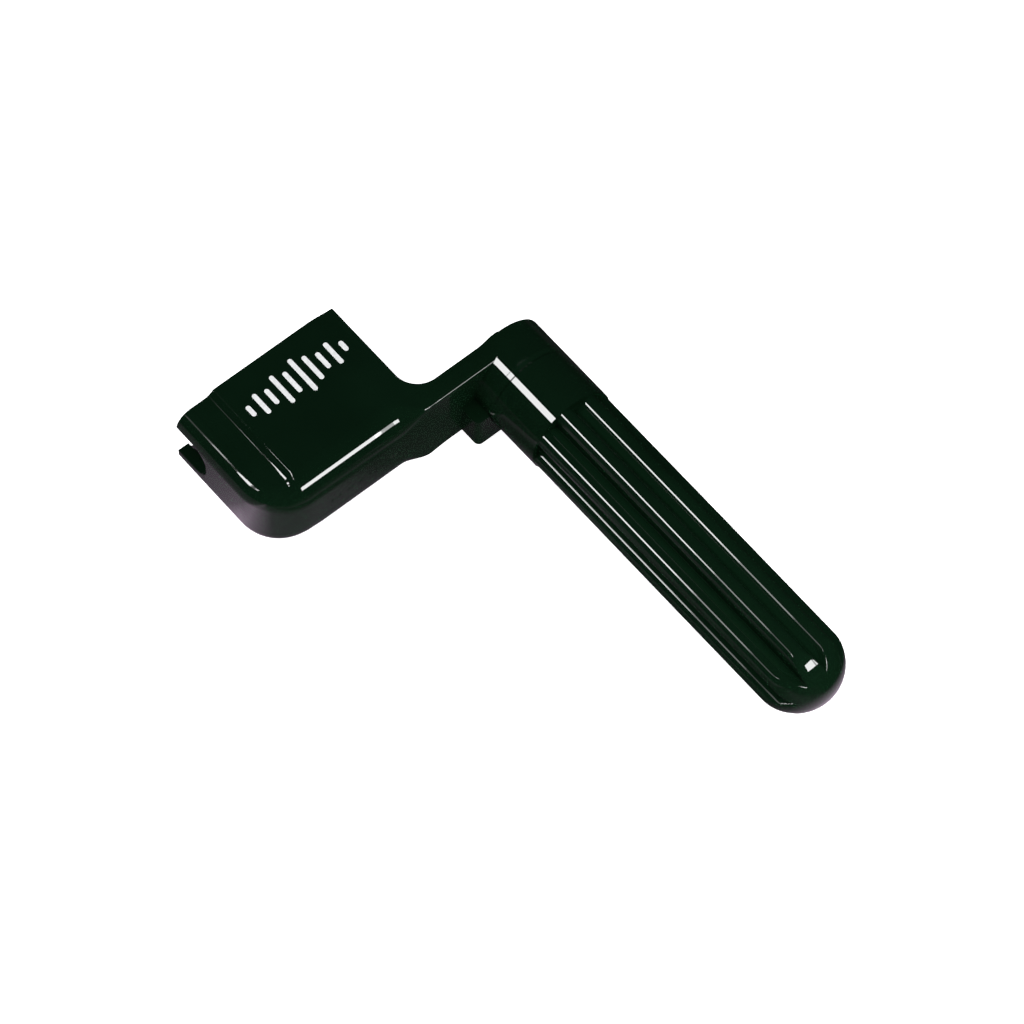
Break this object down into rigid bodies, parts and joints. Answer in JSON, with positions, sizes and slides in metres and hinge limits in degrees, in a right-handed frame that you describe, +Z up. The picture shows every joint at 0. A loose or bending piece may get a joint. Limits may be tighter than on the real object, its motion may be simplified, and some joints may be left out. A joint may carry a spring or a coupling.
{
  "type": "string winder",
  "caption": "Hand crank for turning guitar tuning pegs: hollow peg head with a bridge-pin notch, flat arm, hub and a long fluted grip that spins freely on an axle.",
  "frame": {"origin": "centre of the bounding box in plan, on the surface that the part lies on", "axes": "+X along the grip from the hub to the domed end, the peg head on the -Y side with its socket opening toward -X, +Z up from the surface the part lies on"},
  "size_m": [0.1138, 0.0646, 0.018],
  "materials": {
    "crank_plastic": "polished moulded black",
    "grip_plastic": "polished moulded black",
    "ring_plastic": "smooth black",
    "axle_steel": "ground",
    "clip_steel": "spring temper",
    "mark_ink": "white pad print"
  },
  "bodies": {
    "crank": {"crank_body": "crank_plastic", "axle_pin": "axle_steel", "thrust_ring": "ring_plastic", "retaining_clip": "clip_steel"},
    "grip": {"grip": "grip_plastic"}
  },
  "joints": [
    {"name": "grip_spin", "type": "hinge", "parent": "crank", "child": "grip", "pos_m": [-0.02473, 0.02335, 0.009], "axis": [1, 0, 0], "continuous": true}
  ]
}
